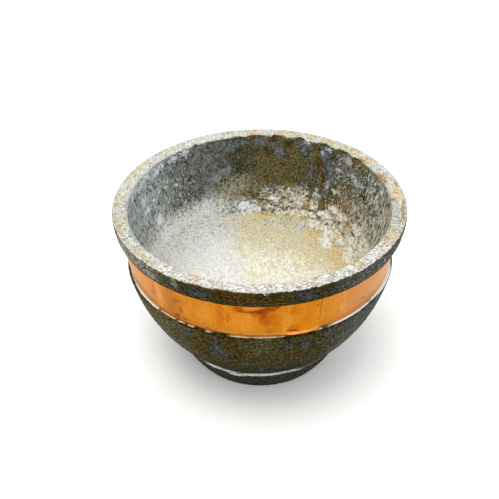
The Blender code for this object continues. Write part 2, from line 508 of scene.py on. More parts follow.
def layerMask(tree, fields, layer, where):
    # each zone is 1 inside and 0 outside; the layer covers where noise times its zones passes start
    zones = []
    if "patches" in layer:
        zones.append(patchField(tree, fields[layer.get("border", "spread")], layer["patches"], where))
    if "between" in layer:
        low, high, soft = layer["between"]
        for limit, way in ((low, 1.0), (high, -1.0)):
            zones.append(addNode(tree, "ShaderNodeMapRange", {
                "Value": fields["along"], "From Min": limit - soft * way, "From Max": limit + soft * way,
            }))
    if "towards" in layer:
        azimuth, half, soft = layer["towards"]
        facing = addNode(tree, "ShaderNodeVectorMath", {
            0: fields["sideways"], 1: (cos(radians(azimuth)), sin(radians(azimuth)), 0.0),
        }, operation="DOT_PRODUCT").outputs["Value"]
        zones.append(addNode(tree, "ShaderNodeMapRange", {
            "Value": facing, "From Min": cos(radians(min(180.0, half + soft))),
            "From Max": cos(radians(max(0.0, half - soft))),
        }))
    size, detail, weight = layer["noise"]
    moved = addNode(tree, "ShaderNodeMapping", {
        "Vector": fields["place"], "Location": seedStep * layer["seed"],
        "Scale": (1.0, 1.0, layer.get("stretch", 1.0)),
    })
    noise = addNode(tree, "ShaderNodeTexNoise", {
        "Vector": moved, "Scale": 1.0 / (size * mm), "Detail": detail, "Roughness": layer.get("rough", 0.62),
        "Distortion": layer.get("swirl", 0.0),
    })
    level = addNode(tree, "ShaderNodeMath", {
        0: noise, 1: weight, 2: 1.0 - 0.5 * weight,
    }, operation="MULTIPLY_ADD")
    for zone in zones:
        level = addNode(tree, "ShaderNodeMath", {0: level, 1: zone}, operation="MULTIPLY")
    start, edge = layer.get("start", 0.5), layer.get("edge", 0.4)
    return addNode(tree, "ShaderNodeMapRange", {
        "Value": level, "From Min": start - edge, "From Max": start + edge,
        "To Max": layer.get("strength", 1.0),
    }, interpolation_type="SMOOTHSTEP")


def wander(tree, place, size, reach):
    # shifts each point a little to one side, so that a border looked up there is ragged
    drift = addNode(tree, "ShaderNodeTexNoise", {
        "Vector": place, "Scale": 1.0 / (size * mm), "Detail": 4.0, "Roughness": 0.65,
    }).outputs["Color"]
    centred = addNode(tree, "ShaderNodeVectorMath", {0: drift, 1: (0.5, 0.5, 0.5)}, operation="SUBTRACT")
    moved = addNode(tree, "ShaderNodeVectorMath", {
        0: centred, "Scale": reach / noiseSwing * mm,
    }, operation="SCALE")
    return addNode(tree, "ShaderNodeVectorMath", {0: place, 1: moved}, operation="ADD")


def layeredColour(tree, fields, colour, layers, where):
    # a layer either lays its colour over the ones below or shades them
    for layer in layers:
        mask = layerMask(tree, fields, layer, where)
        shade = layer.get("shade")
        over = hexColour(layer["colour"]) if shade is None else (shade, shade, shade, 1.0)
        colour = addNode(tree, "ShaderNodeMix", {0: mask, 6: colour, 7: over}, data_type="RGBA",
                         blend_type="MIX" if shade is None else "MULTIPLY").outputs[2]
    return colour


# soapstone: talc and chlorite, index about 1.57, matt where it is worn

stoneLook = {
    "ground": "#332D11",
    "spread": (5.0, 2.6),                   # size and reach in mm of the wander of a patch's border
    "ragged": (2.2, 1.1),
    "middle": 24.0 * mm,                    # nearer the axis than this, the colours of the sides run together
    "outside": [
        # olive with brown and slate mottling, and a painted sheen that makes it greyer to both sides
        {"colour": "#322A08", "noise": (9, 4, 2.4), "start": 1.06, "edge": 0.25, "stretch": 1.8, "seed": 1},
        {"colour": "#313626", "noise": (6, 5, 2.4), "start": 1.16, "edge": 0.2, "stretch": 1.8, "seed": 2},
        {"colour": "#363A39", "noise": (1.8, 4, 5), "start": 0.6, "seed": 3, "border": "ragged",
         "patches": [
            (-125, 4.5, 5, 3.5), (-112, 5, 4.5, 3.5), (-73, 4, 5, 3), (-60, 4.5, 6, 3),
            (-122.5, 41, 4.5, 3.4), (-108, 50, 4, 8), (-79, 44, 2.6, 2.4), (-71.5, 45, 3, 5),
            (-61, 40.5, 5, 3.5), (-98, 61, 2.6, 3), (-90, 67, 3, 4)]},
        {"colour": "#3F300C", "noise": (2.2, 4, 3), "seed": 4, "patches": [
            (-97, 4.5, 7, 3.5), (-85, 7, 5, 3), (-116.5, 47, 2.6, 9), (-101.5, 44, 2.6, 6),
            (-86, 51, 4, 3.5), (-76, 50, 2.4, 4), (-95, 53, 2.6, 4), (-124, 36.5, 2, 2)]},
        {"shade": 0.42, "noise": (1.9, 4, 3.4), "start": 1.18, "edge": 0.2, "stretch": 2, "seed": 75,
         "between": (0.6, 86, 0.6)},
        {"colour": "#3E3A23", "noise": (3, 4, 4), "edge": 0.5, "seed": 74, "patches": [(-90, 43, 6, 6)]},
        # painted sheen: greyer and lighter towards both sides, where the stone is seen edge on
        {"colour": "#4B472E", "noise": (3, 4, 1.2), "strength": 0.8, "seed": 5, "between": (-1, 80, 2),
         "towards": (-155, 24, 20)},
        {"colour": "#444944", "noise": (3, 4, 1.2), "strength": 0.7, "seed": 6, "between": (-1, 80, 2),
         "towards": (-24, 28, 14)},
        # painted shade: the foot darker under the body's overhang, and the body darker down towards the neck
        {"colour": "#272923", "noise": (3, 3, 1), "edge": 0.2, "seed": 7, "between": (88, 150, 1)},
        {"shade": 0.6, "noise": (3, 3, 0.6), "seed": 53, "between": (66, 86, 7)},
    ],
    "hollow": [
        # olive and brown at the back, grey to one side, grey brown to the other
        {"colour": "#3F3E2D", "noise": (7, 4, 0.6), "edge": 0.3, "seed": 8, "between": (-66, -5.9, 0.5)},
        {"colour": "#534F35", "noise": (4, 5, 2.4), "seed": 41, "between": (-66, -5.9, 0.5),
         "towards": (76, 17, 9)},
        {"colour": "#676C6A", "noise": (4, 4, 3), "start": 0.7, "seed": 9, "between": (-66, -5.9, 1),
         "towards": (195, 90, 14)},
        {"colour": "#9DA3A5", "noise": (6, 4, 1.2), "edge": 0.5, "seed": 10, "between": (-66, -5.9, 1),
         "towards": (187, 41, 14)},
        {"colour": "#68614B", "noise": (7, 4, 1.4), "seed": 11, "between": (-66, -5.9, 1),
         "towards": (-20, 66, 12)},
        {"colour": "#BDB79B", "noise": (4, 4, 3.4), "start": 0.85, "edge": 0.35, "seed": 12,
         "between": (-66, -5.9, 1), "towards": (-8, 32, 14)},
        {"colour": "#6A6960", "noise": (9, 4, 2.4), "start": 0.75, "edge": 0.5, "seed": 79,
         "patches": [(-88, -24, 24, 15), (-66, -22, 12, 9)]},
        {"colour": "#8C8872", "noise": (2.2, 4, 3.6), "edge": 0.5, "seed": 13,
         "patches": [(102, -36, 14, 6.5), (108, -40, 10, 3)]},
        {"colour": "#BAB192", "noise": (2, 4, 4), "edge": 0.5, "seed": 51,
         "patches": [(20, -35.5, 15, 6), (6, -38, 8, 3)]},
        {"colour": "#413D2C", "noise": (3, 5, 2.2), "start": 1.14, "edge": 0.2, "strength": 0.8, "seed": 14,
         "between": (-46, -5, 3)},
        # slate clouds and brown spots
        {"colour": "#596062", "noise": (1.8, 4, 5.5), "start": 0.55, "edge": 0.35, "seed": 15,
         "border": "ragged", "patches": [
            (35, -17.5, 8, 3.4), (54, -16, 5.4, 4.6), (62, -22, 2.2, 5), (46, -22, 4, 3), (44, -10.5, 5, 3),
            (55.5, -9.5, 3.4, 3), (68, -9.5, 3, 4), (86.5, -9.6, 7, 2.4), (80, -15, 3, 2.4),
            (26, -15.5, 5, 3), (51, -25, 2.4, 5), (57, -27, 1.6, 3), (84, -34.5, 4, 2), (53, -32, 2.4, 2.6),
            (57.5, -35.5, 1.6, 2.6), (66, -31, 3, 3.5), (79, -28.5, 2.2, 2.2), (106, -11, 6, 3.4),
            (98, -9.5, 3, 1.6), (16, -24, 5, 2.5), (13, -10, 8, 3), (64, -12.5, 1.8, 4)]},
        {"colour": "#5A4C2B", "noise": (2, 4, 5), "start": 0.6, "seed": 16, "border": "ragged", "patches": [
            (55.5, -25, 2.6, 5.5), (60, -16.5, 4, 4.5), (41, -24, 5, 3.4), (30, -22, 4, 2.4),
            (90.5, -41.5, 2.8, 5), (84, -44.5, 3.4, 3), (96, -38.5, 4, 2.2), (52.5, -40.5, 3.4, 1.6),
            (77, -22, 6, 4), (88, -18, 4, 3), (84, -8, 3, 3), (66, -36, 3, 2.6), (36, -11.5, 5, 2.4),
            (74, -31, 7, 3.5), (8, -35, 3.5, 2.6), (85, -29, 6, 4), (66, -26, 4, 5), (72, -14, 3, 3),
            (60, -11, 1.8, 2)]},
        {"colour": "#3B3012", "noise": (1.6, 4, 5), "start": 0.6, "seed": 71, "border": "ragged",
         "patches": [
            (58, -17.5, 2.6, 2.4), (85.5, -14.5, 3.4, 2.2), (55, -24, 1.4, 2.8), (83.5, -8.2, 2.6, 2),
            (51.5, -11.5, 1.4, 2.6), (75.5, -10, 3, 2.4), (47.5, -37.5, 3, 1.8), (30, -10, 3, 1.2),
            (40, -8.4, 3.4, 1.2), (36, -27, 1.8, 1.4), (13, -9, 6, 1.6), (25, -10.6, 4, 1.6)]},
        {"colour": "#A5A89F", "noise": (1.2, 3, 6), "start": 0.6, "edge": 0.35, "seed": 46,
         "border": "ragged", "patches": [
            (33, -18.6, 5, 1.6), (37.5, -16.4, 3, 1), (24, -14, 3, 1.4), (47, -17, 2, 1.2),
            (20, -9.6, 6, 1.2), (10, -16, 5, 1.2), (8, -27, 5, 1.4), (45.5, -29, 3, 0.8), (57, -11, 1.2, 1),
            (13, -20, 4, 1.4), (6, -22, 4, 1.4), (26, -27, 3, 1.2), (42.5, -9.4, 2.4, 1.6),
            (54, -8, 2.4, 1.2), (66, -7.6, 1.8, 1.4), (12, -12.6, 4, 0.9), (15, -8.4, 5, 0.9),
            (32, -30.5, 1.6, 1.8), (31, -36, 1.8, 1.6), (52, -28, 1.2, 2)]},
        {"colour": "#7D8385", "noise": (1.8, 4, 2.4), "seed": 55,
         "patches": [(113.5, -27, 4, 1.8), (107.5, -24.5, 3.8, 2.2), (118, -36, 2.4, 4)]},
        # pale deposit: beige, whiter lower down, partly as painted light on the deepest floor; grey fading up
        # one wall
        {"colour": "#CAC1A3", "noise": (3, 5, 1.4), "edge": 0.25, "seed": 19, "between": (-130, -49.5, 3)},
        {"colour": "#CCBE98", "noise": (4, 4, 1.4), "edge": 0.35, "seed": 20, "between": (-130, -46, 6),
         "towards": (18, 36, 12)},
        {"colour": "#D1BA87", "noise": (3, 5, 2.2), "edge": 0.5, "seed": 21, "patches": [
            (31, -58, 6, 4.6), (48, -57.5, 3, 4), (54, -56, 3, 2.4), (66, -50, 4, 2.6), (86, -51.5, 7, 1.1),
            (24, -63, 8, 4), (33, -50, 3, 1.6), (62, -47.4, 4, 1.4), (48, -73, 12, 5), (8, -47, 3, 2),
            (30, -44.5, 2, 1.4)]},
        # partly painted light: whiter on the deepest floor, which faces straight up to the lamps
        {"colour": "#D8D1B6", "noise": (9, 5, 2.6), "edge": 0.5, "seed": 22, "between": (-130, -70, 15)},
        {"colour": "#CBCDC8", "noise": (1.8, 4, 2.8), "seed": 18, "between": (-130, -38, 6),
         "towards": (156, 48, 10)},
        {"colour": "#D9DBD9", "noise": (7, 4, 1.2), "edge": 0.5, "seed": 23, "between": (-130, -52, 9),
         "towards": (158, 46, 16)},
        {"colour": "#ECEAE0", "noise": (3.2, 5, 3.6), "start": 1, "edge": 0.35, "swirl": 3, "seed": 17,
         "between": (-130, -62, 14)},
        {"shade": 0.77, "noise": (2.6, 5, 3.4), "start": 1.08, "swirl": 3, "seed": 52,
         "between": (-130, -44, 4)},
        # pale crystals along the border, with tan and dark gaps
        {"colour": "#A9A085", "noise": (1.6, 4, 6), "start": 0.75, "edge": 0.45, "seed": 76,
         "border": "ragged", "patches": [(70, -39.5, 13, 6), (42, -40, 6, 4), (88.5, -45.5, 6, 2.4)]},
        {"colour": "#C9C6B6", "noise": (1.3, 4, 6), "start": 1.1, "edge": 0.35, "rough": 0.68, "seed": 78,
         "border": "ragged", "patches": [
            (68, -39, 19, 8), (57, -36, 5, 6), (86, -40, 6, 6), (31, -34.5, 3, 6), (20, -38, 8, 5),
            (46, -29, 4, 2)]},
        {"colour": "#E3E2D8", "noise": (1.8, 4, 6.5), "start": 0.6, "rough": 0.68, "seed": 24,
         "border": "ragged", "patches": [
            (20.5, -54, 6, 4.6), (32.5, -52.2, 3.2, 2), (43, -57, 4.2, 3.8), (44, -51.5, 5.6, 3.4),
            (38.5, -49, 3.6, 2.2), (37.5, -42, 3.6, 4.2), (47, -45, 4.4, 4.6), (45, -39, 4, 1.8),
            (25, -47.5, 7, 3), (22, -41.5, 6, 3.2), (15, -46, 5, 3.6), (10, -42, 5, 3),
            (55, -50.5, 3.8, 3.2), (57, -46.8, 3.4, 2), (57.5, -42, 2.4, 1.8), (66, -42.4, 3.4, 1.4),
            (69, -47.5, 4.4, 2.2), (74, -44.4, 6, 1.8), (76.5, -48, 3.6, 2.2), (81, -41.6, 3, 1.6),
            (84.5, -46.6, 3, 1.8), (91.5, -47.8, 2.6, 1.4), (52, -44.2, 4, 2.2), (63, -46.5, 3.4, 1.4)]},
        {"colour": "#C3C5BC", "noise": (1.8, 4, 5), "start": 0.6, "edge": 0.45, "strength": 0.85,
         "seed": 66, "border": "ragged", "patches": [
            (63.5, -54, 3.8, 3.2), (81, -55, 3.4, 2), (76, -56.6, 2.6, 1.8), (33, -56.6, 2.4, 1.4)]},
        {"colour": "#A98C5C", "noise": (2, 4, 3), "start": 1.4, "edge": 0.2, "seed": 44,
         "between": (-52, -36, 2), "towards": (48, 44, 6)},
        {"colour": "#4A3D22", "noise": (1.6, 4, 3), "start": 1.4, "edge": 0.2, "seed": 45,
         "between": (-53, -32, 2), "towards": (50, 44, 6)},
        # rust along it
        {"colour": "#855A28", "noise": (1.4, 4, 5), "start": 0.6, "strength": 0.85, "seed": 25,
         "border": "ragged", "patches": [
            (40.5, -44.8, 2.8, 1.1), (33, -48.2, 1.8, 1.4), (32, -41.8, 3, 1.3), (44.5, -41.8, 2.2, 1.3),
            (62.5, -42.5, 1.8, 2), (72.5, -45.4, 1.7, 1.3), (77.5, -43.6, 1.8, 0.9),
            (90.5, -43.4, 1.1, 2.2), (57, -44, 2, 0.9), (24, -37.5, 3, 1.4), (16, -48.4, 1.2, 0.7)]},
        {"colour": "#604B2B", "noise": (1.2, 3, 5), "seed": 67, "border": "steady", "patches": [
            (26, -44.2, 2.6, 0.9), (52.8, -46.8, 1.7, 1), (53, -41.5, 1.9, 0.9), (38.8, -44, 1.6, 0.9),
            (46.5, -48, 1.2, 0.9), (20, -42.6, 1.2, 0.6), (29.5, -38.6, 1.6, 1), (52, -38, 3.4, 2.4),
            (61, -37, 2, 1.4), (76, -40.4, 1.2, 0.8)]},
        {"colour": "#7E5A2E", "noise": (1.6, 4, 5), "start": 0.7, "edge": 0.5, "seed": 47,
         "border": "ragged", "patches": [(37, -34.5, 7, 4), (53, -31.5, 2.6, 1.6), (47.5, -36.5, 2, 2)]},
        # pale blue bloom
        {"colour": "#D2D8DA", "noise": (1.6, 4, 4.5), "edge": 0.35, "seed": 26, "border": "ragged",
         "patches": [
            (153, -43, 4.5, 4.5), (155, -34, 3, 3.6), (163, -24, 3, 1.6), (98.5, -45.8, 6.4, 4.2)]},
        {"colour": "#BFCBCF", "noise": (1.4, 4, 5), "start": 0.6, "seed": 54, "border": "ragged",
         "patches": [
            (148, -10.4, 2.8, 2.4), (143.5, -9.2, 3, 1.9), (136, -8.6, 4, 1.4), (128.5, -8.2, 3, 1.2),
            (155, -8.6, 4, 1.6), (162, -9.4, 4, 2), (171, -9, 5, 1.6), (163, -18, 3, 3)]},
        # flecks: pale on the walls, dark on the deposit
        {"colour": "#B4B19F", "noise": (1.1, 2, 3), "start": 1.22, "edge": 0.2, "strength": 0.9, "seed": 27,
         "between": (-50, -6.5, 3), "towards": (14, 44, 12)},
        {"colour": "#BCC0BC", "noise": (1.2, 3, 3), "start": 1.26, "edge": 0.2, "strength": 0.75,
         "stretch": 0.5, "seed": 28, "between": (-44, -6.5, 3), "towards": (190, 73, 12)},
        {"colour": "#DADAD4", "noise": (1.2, 3, 2.4), "edge": 0.2, "seed": 48, "patches": [
            (139, -38, 1.8, 1), (149.5, -21.8, 1.6, 0.9), (155, -22, 2.4, 0.8), (155, -13.7, 2, 0.8),
            (143.5, -21, 1, 0.9), (136, -23.5, 1, 0.7)]},
        {"colour": "#5C5546", "noise": (1.1, 2, 3), "start": 1.38, "edge": 0.16, "strength": 0.7,
         "seed": 29, "between": (-60, -38, 3)},
        {"shade": 0.84, "noise": (1.6, 4, 3), "start": 1.12, "edge": 0.35, "seed": 72,
         "between": (-66, -38, 5), "towards": (148, 54, 12)},
        {"shade": 0.42, "noise": (1.1, 3, 3), "start": 1.16, "edge": 0.25, "stretch": 0.5, "seed": 38,
         "between": (-42, -7.2, 0.8), "towards": (200, 86, 12)},
        {"shade": 0.36, "noise": (1.2, 3, 3), "start": 1.18, "edge": 0.25, "stretch": 0.5, "seed": 39,
         "between": (-40, -6.2, 3), "towards": (-4, 82, 14)},
        {"shade": 0.66, "noise": (1.2, 3, 3), "start": 1.16, "edge": 0.25, "seed": 68,
         "between": (-58, -40, 3), "towards": (40, 58, 14)},
        {"shade": 0.55, "noise": (1.2, 3, 3), "start": 1.16, "edge": 0.3, "seed": 69,
         "between": (-50, -6.2, 2), "towards": (92, 34, 12)},
        {"colour": "#74715A", "noise": (1.1, 3, 3), "start": 1.44, "edge": 0.2, "seed": 70,
         "between": (-46, -8, 4), "towards": (82, 44, 12)},
        {"colour": "#877E64", "noise": (1.6, 4, 3.4), "start": 1.22, "edge": 0.3, "stretch": 0.35,
         "seed": 77, "between": (-44, -8, 5), "towards": (6, 24, 12)},
        {"colour": "#CFCFC5", "noise": (1.6, 4, 3.4), "start": 1.2, "edge": 0.2, "stretch": 0.4, "seed": 58,
         "between": (-40, -6.5, 3), "towards": (4, 30, 10)},
        {"shade": 0.35, "noise": (1.7, 4, 3.4), "start": 1.1, "edge": 0.25, "stretch": 0.4, "seed": 59,
         "between": (-40, -6.5, 3), "towards": (4, 34, 10)},
        {"colour": "#6B6D6A", "noise": (1.1, 3, 5), "start": 0.9, "seed": 60, "border": "steady",
         "patches": [
            (97.5, -42.4, 5, 1), (95, -44, 1.2, 1.4), (101, -43, 1.6, 1), (133, -42.6, 1.8, 0.6),
            (141, -40.2, 1.2, 0.7), (116, -54, 0.8, 0.6), (147, -52.2, 1.1, 0.6), (115, -44.6, 0.9, 0.7),
            (150, -46.6, 1.1, 0.6), (119, -41.8, 1.1, 0.6)]},
    ],
    "edges": [
        # lip: cream, whiter in front, with tan stretches and grey specks
        {"colour": "#BDBFB8", "noise": (1.6, 3, 2.2), "edge": 0.16, "seed": 30, "between": (-6.3, 0.7, 1)},
        {"colour": "#D2D1CD", "noise": (4, 4, 2), "start": 0.8, "seed": 32, "between": (-6, 0.4, 0.5),
         "towards": (-85, 62, 14)},
        {"colour": "#AB9D78", "noise": (3, 5, 2.4), "start": 1.18, "edge": 0.3, "seed": 31,
         "between": (-6.2, 0.6, 0.5)},
        {"colour": "#B9A67B", "noise": (1.2, 3, 3.4), "start": 0.72, "edge": 0.45, "strength": 0.8,
         "seed": 40, "border": "steady", "between": (-6.4, 0.6, 0.6), "patches": [
            (-137, -1.2, 11, 1.4), (-115.5, -3.5, 3, 3), (-104.5, -1.5, 1.5, 1.8), (-91.5, -2.5, 1.4, 0.8),
            (-86, -5.8, 1.2, 0.9), (-78, -2.5, 1.2, 2), (-71, -1.5, 1.8, 1.2), (-68, -5.5, 2, 1),
            (-61, -4.5, 1.2, 1.6), (-49.5, -3, 3.2, 4), (-28, -3, 9.5, 4), (-52, -6.2, 14, 0.9),
            (5, -3, 8, 3.5), (33, -3.2, 6, 3.6), (44, -3, 6, 3.6), (56, -3.2, 7, 3.4), (78, -3.6, 6, 3),
            (65, -3, 2.6, 3), (94, -3.4, 5, 3), (178, -1, 9, 1.3), (158, -0.8, 12, 1.6),
            (198, -1, 10, 1.8)]},
        {"colour": "#98703F", "noise": (1.2, 3, 2.8), "edge": 0.45, "strength": 0.85, "seed": 42,
         "border": "steady", "between": (-7.4, 0.6, 0.6), "patches": [
            (17.5, -5.5, 4.6, 1.5), (-0.5, -5, 2, 1), (-8, -1.2, 9, 0.8), (-21, -5.8, 1.6, 0.8),
            (12, -1, 3, 0.7), (34, -5.4, 3, 0.8)]},
        {"colour": "#A5ABAE", "noise": (1.2, 3, 2.8), "start": 0.8, "edge": 0.45, "strength": 0.75,
         "seed": 43, "border": "steady", "between": (-8, 0.6, 0.8), "patches": [
            (25.5, -4.6, 4, 3), (-45.5, -3, 1.6, 1), (-17, -3, 3.5, 3), (-9, -4.5, 6, 2),
            (69.5, -4.2, 2.2, 2), (86.5, -4, 2.6, 2.2), (-155, -5, 6, 2)]},
        {"shade": 0.62, "noise": (0.9, 3, 3.4), "start": 1.04, "seed": 61, "between": (-6.4, 0.8, 0.5)},
        {"colour": "#6E6B60", "noise": (0.8, 3, 3), "start": 1.24, "edge": 0.2, "seed": 33,
         "between": (-6.4, 0.8, 0.5), "towards": (-95, 104, 20)},
        {"colour": "#34302A", "noise": (1, 3, 3.4), "start": 1.52, "edge": 0.12, "seed": 34,
         "between": (-6.4, 1, 0.5)},
        {"colour": "#3F2D10", "noise": (1.2, 3, 2.4), "seed": 49, "border": "steady",
         "patches": [(-112, 1, 7, 0.6), (-103, 0.9, 6, 0.7), (-96, 1.2, 5, 0.5), (-83, 0.9, 3, 0.4)]},
        # pale scratches on the rim's side, with a painted glint among them near its right end
        {"colour": "#B5B6B0", "noise": (0.7, 3, 5), "start": 0.9, "edge": 0.3, "stretch": 0.4, "seed": 56,
         "border": "steady",
         "patches": [(-23, 4, 2, 2.6), (-18, 2.6, 2, 1.6), (-88, 1.4, 1.4, 0.5), (-38, 4, 1.6, 1.2)]},
        # dark wall reaching into the lip's inner edge, and flecks on the rim's side
        {"colour": "#3E3824", "noise": (1.3, 4, 3), "edge": 0.3, "seed": 62, "border": "steady",
         "patches": [
            (91, -6.3, 5, 0.8), (81, -6.1, 4, 0.9), (70, -6, 3, 0.9), (57, -6.1, 4, 0.9),
            (46, -6.3, 4, 0.8), (122, -6.3, 1.4, 0.9), (101, -6.4, 3, 0.6), (37, -6.4, 3, 0.6)]},
        {"colour": "#6F6C59", "noise": (1.4, 4, 5), "start": 0.6, "edge": 0.5, "seed": 73,
         "border": "ragged", "between": (0.6, 9.5, 0.5),
         "patches": [(-148, 3, 12, 4), (-134, 5.5, 5, 2), (-121.5, 3, 2, 2.2)]},
        {"colour": "#A6A69B", "noise": (0.9, 3, 3), "start": 1.2, "edge": 0.25, "seed": 63,
         "between": (0.4, 8.5, 0.8), "towards": (-150, 26, 8)},
        {"colour": "#8E8D80", "noise": (0.9, 3, 3), "start": 1.34, "edge": 0.2, "seed": 64,
         "between": (0.4, 8.5, 0.8), "towards": (-38, 30, 10)},
        {"shade": 0.62, "noise": (0.9, 3, 3), "start": 1.04, "edge": 0.3, "seed": 65,
         "between": (0.4, 9.5, 0.6)},
        # ledge under the copper, worn pale in stretches
        {"colour": "#D6D1C0", "noise": (1.4, 4, 3.4), "start": 0.65, "edge": 0.25, "seed": 50,
         "border": "steady", "between": (34.4, 36.05, 0.12), "patches": [
            (-131, 36, 6, 5), (-124, 36, 2.4, 5), (-119, 36, 2, 5), (-111, 36, 2, 5), (-98, 36, 6, 5),
            (-88, 36, 8, 5), (-67, 36, 4, 5), (-163, 36, 15, 5)]},
        {"colour": "#E4F8FC", "noise": (3, 3, 0.8), "edge": 0.25, "seed": 35, "border": "steady",
         "between": (34.4, 36.3, 0.15), "patches": [
            (-149, 36, 8, 5), (-140, 36, 3.6, 5), (-49, 36, 14, 5), (-22, 36, 24, 5), (8, 36, 18, 5),
            (70, 36, 30, 5), (150, 36, 26, 5)]},
        {"colour": "#DCF2F6", "noise": (3, 3, 0.8), "edge": 0.25, "seed": 57, "border": "steady",
         "between": (34.4, 36.9, 0.15), "patches": [(-22, 36.5, 12, 6)]},
        # the foot's shoulder: a paler grey band all round, with a painted highlight in stretches along its
        # front, partly rubbed pale
        {"colour": "#4E504C", "noise": (2, 4, 1.6), "edge": 0.2, "seed": 36, "between": (85.9, 87.6, 0.3)},
        {"colour": "#B2B5B4", "noise": (1.4, 4, 0.9), "edge": 0.35, "seed": 37, "border": "steady",
         "between": (85.3, 91, 0.4), "patches": [
            (-90, 86.5, 9, 0.65), (-98, 87.1, 5, 0.6), (-106, 88.6, 4, 0.9), (-111, 86.8, 5, 0.6),
            (-123, 87.4, 4, 0.6), (-76, 86.1, 9, 0.45), (-121, 86.7, 5, 0.6), (40, 86.5, 12, 0.6),
            (140, 86.6, 9, 0.6)]},
    ],
    "grain": {
        "size": 0.9, "detail": 3.0,         # mm; real grains are finer, but wouldn't show
        "flatness": 1.6,                    # each grain is this much wider than high
        "lip": (-1.0, 3.0),                 # mm along, over which the inside gives way to the outside
        "coarse": 0.75,                     # scale of the pattern on the outside, 1 inside
        "inside": 0.52, "outside": 0.50,    # strength
        "noise": (0.25, 0.62),              # from the dark grains to the light ones
        "powers": (1.0, -0.48),             # of the colour's lightness, for those
        "worn": (0.3, 0.7),                 # the same noise, over which the roughness changes
    },
    "bump": {"size": 1.3, "depth": 0.09 * mm},
    "roughness": (0.74, 0.52),              # dark grains, light grains
    "index": 1.57,
    "specular": 0.015,
}


def soapstone():
    look, grain = stoneLook, stoneLook["grain"]
    material, tree, shader = newMaterial("worn soapstone")
    place = addNode(tree, "ShaderNodeTexCoord").outputs["Object"]
    along = addNode(tree, "ShaderNodeAttribute", attribute_name="along").outputs["Fac"]
    flat = addNode(tree, "ShaderNodeVectorMath", {0: place, 1: (1.0, 1.0, 0.0)}, operation="MULTIPLY")
    reach = addNode(tree, "ShaderNodeVectorMath", {0: flat}, operation="LENGTH").outputs["Value"]
    held = addNode(tree, "ShaderNodeMath", {0: reach, 1: look["middle"]}, operation="MAXIMUM")
    share = addNode(tree, "ShaderNodeMath", {0: 1.0, 1: held}, operation="DIVIDE")
    sideways = addNode(tree, "ShaderNodeVectorMath", {0: flat, "Scale": share}, operation="SCALE")

    fields = {"place": place, "along": along, "sideways": sideways, "steady": place,
              "spread": wander(tree, place, *look["spread"]), "ragged": wander(tree, place, *look["ragged"])}
    # for the hollow's patches the outside counts as a metre away, or they would show through the wall
    away = addNode(tree, "ShaderNodeMapRange", {"Value": along, "From Min": -0.5, "From Max": 0.5})
    shift = addNode(tree, "ShaderNodeCombineXYZ", {"Z": away})
    hollowFields = dict(fields)
    for name in ("steady", "spread", "ragged"):
        hollowFields[name] = addNode(tree, "ShaderNodeVectorMath", {
            0: fields[name], 1: shift,
        }, operation="ADD")
    colour = hexColour(look["ground"])
    for part, seen in (("outside", fields), ("hollow", hollowFields), ("edges", fields)):
        colour = layeredColour(tree, seen, colour, look[part], stonePlace)

    # grain: a power of the colour's own lightness scales it, strongly on dark stone and faintly on pale
    overLip = {"Value": along, "From Min": grain["lip"][0], "From Max": grain["lip"][1]}
    coarse = addNode(tree, "ShaderNodeMapRange", {**overLip, "To Min": 1.0, "To Max": grain["coarse"]})
    depth = addNode(tree, "ShaderNodeMapRange", {
        **overLip, "To Min": grain["inside"], "To Max": grain["outside"],
    })
    flattened = addNode(tree, "ShaderNodeVectorMath", {
        0: place, 1: (1.0, 1.0, grain["flatness"]),
    }, operation="MULTIPLY")
    flattened = addNode(tree, "ShaderNodeVectorMath", {0: flattened, "Scale": coarse}, operation="SCALE")
    noise = addNode(tree, "ShaderNodeTexNoise", {
        "Vector": flattened, "Scale": 1.0 / (grain["size"] * mm), "Detail": grain["detail"],
    })
    swing = addNode(tree, "ShaderNodeMapRange", {
        "Value": noise, "From Min": grain["noise"][0], "From Max": grain["noise"][1],
        "To Min": grain["powers"][0], "To Max": grain["powers"][1],
    })
    power = addNode(tree, "ShaderNodeMath", {0: swing, 1: depth}, operation="MULTIPLY")
    lightness = addNode(tree, "ShaderNodeRGBToBW", {"Color": colour})
    gain = addNode(tree, "ShaderNodeMath", {0: lightness, 1: power}, operation="POWER")
    colour = addNode(tree, "ShaderNodeVectorMath", {0: colour, "Scale": gain}, operation="SCALE")
    matt = addNode(tree, "ShaderNodeMapRange", {
        "Value": noise, "From Min": grain["worn"][0], "From Max": grain["worn"][1],
        "To Min": look["roughness"][0], "To Max": look["roughness"][1],
    })
    dents = addNode(tree, "ShaderNodeTexNoise", {
        "Vector": place, "Scale": 1.0 / (look["bump"]["size"] * mm), "Detail": 3.0, "Roughness": 0.6,
    })
    bump = addNode(tree, "ShaderNodeBump", {"Height": dents, "Distance": look["bump"]["depth"]})
    feed(tree, shader, {
        "Base Color": colour, "Roughness": matt, "Normal": bump,
        "IOR": look["index"], "Specular IOR Level": look["specular"],
    })
    return material


bowl = makeBowl(soapstone())
print("bowl ready", len(bowl.data.polygons))

# the copper band

bandShape = {
    "facets": 720,
    "rows": 25,
    "seamAngle": -66.2,                     # degrees, 0 along +X
    "seamTop": 0.32 * mm,
    "seamBottom": 0.02 * mm,
    "edgeRound": 0.12 * mm,
    "edgeRun": 2.5,                         # how many times that, up the sheet, the rounding takes
    "crease": 40.0,                         # degrees past which an edge stays sharp
    "seat": 0.2 * mm,                       # lower than the groove needs, so no dark line shows under it
    "waveDepth": 0.10 * mm,
    "waveLength": 17.0 * mm,
    "seed": 3.0,
    # swellings: degrees on from the seam, mm over the lower edge, half width, half height, rise in mm
    "swellings": [
        (254.2, 10.0, 24.0, 16.0, 0.75),
        (354.2, 0.0, 15.0, 9.0, 0.85),
        (348.7, 1.6, 3.4, 1.5, -0.35),
    ],
}


